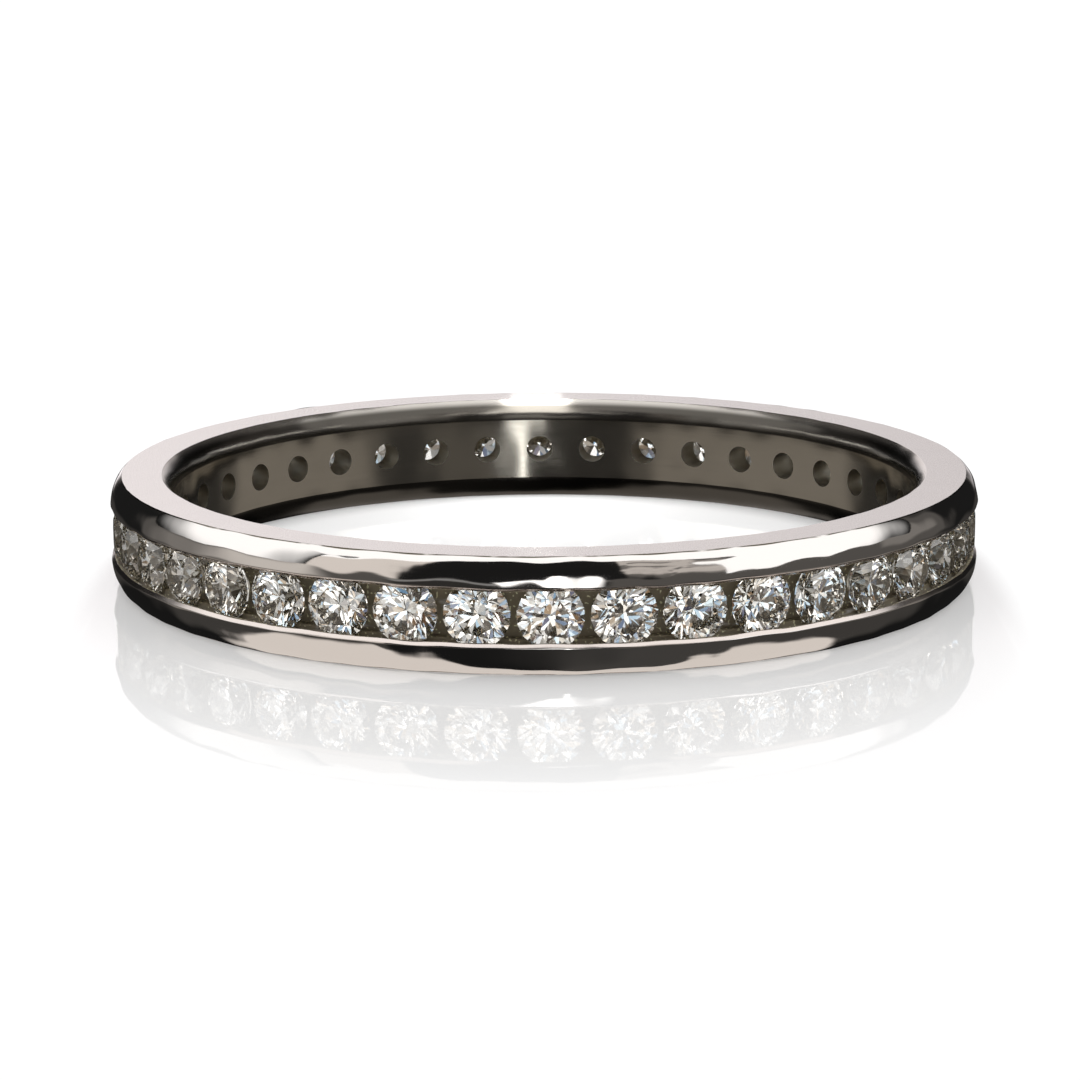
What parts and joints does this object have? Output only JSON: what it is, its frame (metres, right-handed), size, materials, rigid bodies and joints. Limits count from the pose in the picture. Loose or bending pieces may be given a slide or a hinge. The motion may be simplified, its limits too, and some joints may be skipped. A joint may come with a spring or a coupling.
{
  "type": "channel set band",
  "caption": "Slim white gold finger ring whose two rails hold an unbroken row of small round brilliants all the way round.",
  "frame": {"origin": "centre of the side face that the ring rests on, on the axis of the finger hole", "axes": "+Z along the finger hole and up from the surface the ring lies on; -Y is the side nearest the camera in the picture"},
  "size_m": [0.0198, 0.0198, 0.0025],
  "materials": {
    "white_gold": "hand polished rails and finger hole, fine satin side faces, burnished lips",
    "diamond": "polished facets"
  },
  "bodies": {
    "root": {"band": "white_gold", "stone_01": "diamond", "stone_02": "diamond", "stone_03": "diamond", "stone_04": "diamond", "stone_05": "diamond", "stone_06": "diamond", "stone_07": "diamond", "stone_08": "diamond", "stone_09": "diamond", "stone_10": "diamond", "stone_11": "diamond", "stone_12": "diamond", "stone_13": "diamond", "stone_14": "diamond", "stone_15": "diamond", "stone_16": "diamond", "stone_17": "diamond", "stone_18": "diamond", "stone_19": "diamond", "stone_20": "diamond", "stone_21": "diamond", "stone_22": "diamond", "stone_23": "diamond", "stone_24": "diamond", "stone_25": "diamond", "stone_26": "diamond", "stone_27": "diamond", "stone_28": "diamond", "stone_29": "diamond", "stone_30": "diamond", "stone_31": "diamond", "stone_32": "diamond", "stone_33": "diamond", "stone_34": "diamond", "stone_35": "diamond", "stone_36": "diamond", "stone_37": "diamond", "stone_38": "diamond", "stone_39": "diamond", "stone_40": "diamond"}
  },
  "joints": []
}
